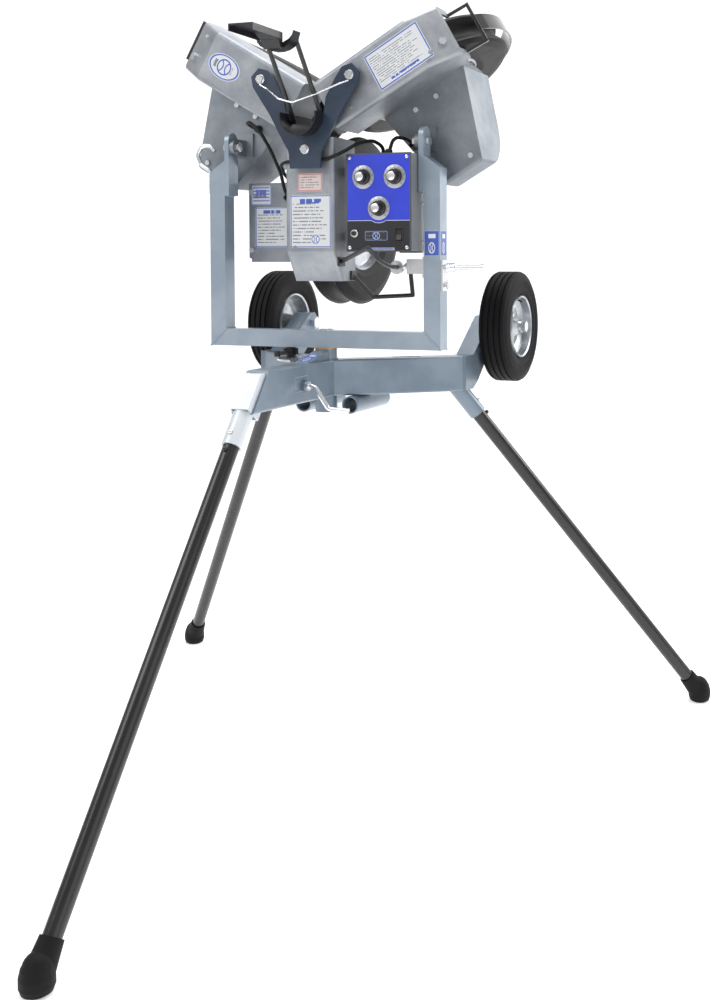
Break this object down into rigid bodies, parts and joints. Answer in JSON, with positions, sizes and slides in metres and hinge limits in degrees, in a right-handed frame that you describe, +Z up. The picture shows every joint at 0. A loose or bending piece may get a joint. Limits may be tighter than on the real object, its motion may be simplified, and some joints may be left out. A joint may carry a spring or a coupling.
{
  "type": "baseball pitching machine",
  "caption": "Tripod ball-throwing machine: wheels in cast housings pinch a ball in a tilting head on a swivelling U-yoke, with transport wheels and a speed panel.",
  "frame": {"origin": "floor level, at the middle of the machine's footprint", "axes": "+Z up, +Y the way the ball is thrown, +X to the operator's right"},
  "size_m": [1.5106, 1.5467, 1.6416],
  "materials": {
    "zinc_grey": "smooth grey-blue enamel, slightly metallic",
    "socket_paint": "light grey enamel",
    "black_tube": "gloss black powder coat",
    "foot_rubber": "matt black rubber",
    "zinc_plate": "bright zinc plating",
    "cart_tyre": "ribbed black rubber",
    "rim_steel": "zinc-plated pressed steel",
    "bronze": "sintered bronze",
    "cast_aluminium": "sand-cast, tumbled",
    "black_plastic": "moulded black",
    "black_steel": "satin black powder coat",
    "thrower_tyre": "moulded black urethane",
    "motor_case": "black motor enamel",
    "hoop_black": "gloss black enamel",
    "chrome_wire": "bright spring wire",
    "panel": "printed blue and black face",
    "board": "circuit board",
    "conduit": "black flexible cable"
  },
  "bodies": {
    "base": {"base_frame": "zinc_grey", "front_sockets": "zinc_grey", "rear_socket": "socket_paint", "leg_tubes": "black_tube", "leg_feet": "foot_rubber", "wheel_struts": "zinc_grey", "wheel_axles": "zinc_plate", "storage_sleeves": "zinc_grey", "post_gusset": "zinc_grey", "swivel_bushes": "bronze", "lock_quadrant": "zinc_plate"},
    "snap_rear": {"snap_button_rear": "zinc_plate"},
    "snap_right": {"snap_button_right": "zinc_plate"},
    "snap_left": {"snap_button_left": "zinc_plate"},
    "crank": {"clamp_crank": "zinc_plate"},
    "cart_wheel_right": {"transport_tyre_right": "cart_tyre", "transport_rim_right": "rim_steel"},
    "cart_wheel_left": {"transport_tyre_left": "cart_tyre", "transport_rim_left": "rim_steel"},
    "yoke": {"yoke_frame": "zinc_grey", "yoke_ears": "zinc_grey", "yoke_spindle": "zinc_plate", "tilt_clamp_bracket": "zinc_plate", "tilt_eye_bolt": "zinc_plate", "tilt_plate": "zinc_plate", "cord_hook": "zinc_plate"},
    "swivel_lock": {"swivel_lock_knob": "black_plastic"},
    "tilt_grip": {"tilt_handle": "zinc_plate"},
    "head": {"housing_lower": "cast_aluminium", "housing_right": "cast_aluminium", "housing_left": "cast_aluminium", "motor_cover_lower": "cast_aluminium", "motor_cover_right": "cast_aluminium", "motor_cover_left": "cast_aluminium", "motors": "motor_case", "guard_hoops": "hoop_black", "throat_plate": "black_steel", "ball_trough": "black_steel", "chute_frame": "black_steel", "feed_shelf": "black_steel", "ball_wire": "chrome_wire", "tilt_rod": "black_steel", "trunnion_brackets": "cast_aluminium", "head_bolts": "zinc_plate", "control_box": "zinc_grey", "control_panel": "panel", "controller_board": "board", "power_inlet": "black_plastic", "motor_conduits": "conduit"},
    "thrower_lower": {"throwing_tyre_lower": "thrower_tyre", "throwing_hub_lower": "cast_aluminium"},
    "thrower_right": {"throwing_tyre_right": "thrower_tyre", "throwing_hub_right": "cast_aluminium"},
    "thrower_left": {"throwing_tyre_left": "thrower_tyre", "throwing_hub_left": "cast_aluminium"},
    "dial_1": {"speed_knob_1": "black_plastic"},
    "dial_2": {"speed_knob_2": "black_plastic"},
    "dial_3": {"speed_knob_3": "black_plastic"},
    "power_rocker": {"rocker_switch": "black_plastic"},
    "breaker": {"breaker_button": "black_plastic"}
  },
  "joints": [
    {"name": "yoke_swivel", "type": "hinge", "parent": "base", "child": "yoke", "pos_m": [0, 0.178, 0.904], "axis": [0, 0, 1], "range_deg": [-60, 60]},
    {"name": "head_tilt", "type": "hinge", "parent": "yoke", "child": "head", "pos_m": [0, 0.178, 1.348], "axis": [1, 0, 0], "range_deg": [-10, 25]},
    {"name": "cart_wheel_right_spin", "type": "hinge", "parent": "base", "child": "cart_wheel_right", "pos_m": [0.304, 0.529, 0.937], "axis": [1, 0, 0], "continuous": true},
    {"name": "cart_wheel_left_spin", "type": "hinge", "parent": "base", "child": "cart_wheel_left", "pos_m": [-0.304, 0.529, 0.937], "axis": [1, 0, 0], "continuous": true},
    {"name": "thrower_lower_spin", "type": "hinge", "parent": "head", "child": "thrower_lower", "pos_m": [0, 0.304, 1.185], "axis": [1, 0, 0], "continuous": true},
    {"name": "thrower_right_spin", "type": "hinge", "parent": "head", "child": "thrower_right", "pos_m": [0.1862, 0.304, 1.5075], "axis": [-0.5, 0, 0.866], "continuous": true},
    {"name": "thrower_left_spin", "type": "hinge", "parent": "head", "child": "thrower_left", "pos_m": [-0.1862, 0.304, 1.5075], "axis": [-0.5, 0, -0.866], "continuous": true},
    {"name": "snap_rear_press", "type": "slide", "parent": "base", "child": "snap_rear", "axis": [0, 0.7988, -0.6016], "range_m": [0, 0.0045], "stiffness_N_per_m": 900, "springref_m": -0.003},
    {"name": "snap_right_press", "type": "slide", "parent": "base", "child": "snap_right", "axis": [-0.6159, -0.4812, -0.6238], "range_m": [0, 0.0045], "stiffness_N_per_m": 900, "springref_m": -0.003},
    {"name": "snap_left_press", "type": "slide", "parent": "base", "child": "snap_left", "axis": [0.6159, -0.4812, -0.6238], "range_m": [0, 0.0045], "stiffness_N_per_m": 900, "springref_m": -0.003},
    {"name": "crank_turn", "type": "hinge", "parent": "base", "child": "crank", "pos_m": [0.03, 0.032, 0.834], "axis": [1, 0, 0], "range_deg": [0, 350]},
    {"name": "swivel_lock_turn", "type": "hinge", "parent": "yoke", "child": "swivel_lock", "pos_m": [-0.086, 0.176, 0.89], "axis": [0, 0, 1], "range_deg": [-120, 10]},
    {"name": "tilt_grip_turn", "type": "hinge", "parent": "yoke", "child": "tilt_grip", "pos_m": [0.3, 0.178, 1.08], "axis": [1, 0, 0], "range_deg": [0, 350]},
    {"name": "speed_1_turn", "type": "hinge", "parent": "head", "child": "dial_1", "pos_m": [0.119, 0.118, 1.271], "axis": [0, -1, 0], "range_deg": [-270, 0]},
    {"name": "speed_2_turn", "type": "hinge", "parent": "head", "child": "dial_2", "pos_m": [0.192, 0.118, 1.271], "axis": [0, -1, 0], "range_deg": [-270, 0]},
    {"name": "speed_3_turn", "type": "hinge", "parent": "head", "child": "dial_3", "pos_m": [0.155, 0.118, 1.205], "axis": [0, -1, 0], "range_deg": [-270, 0]},
    {"name": "power_rock", "type": "hinge", "parent": "head", "child": "power_rocker", "pos_m": [0.202, 0.125, 1.149], "axis": [1, 0, 0], "range_deg": [0, 14]},
    {"name": "breaker_press", "type": "slide", "parent": "head", "child": "breaker", "axis": [0, 1, 0], "range_m": [0, 0.003], "stiffness_N_per_m": 1200, "springref_m": -0.002}
  ]
}
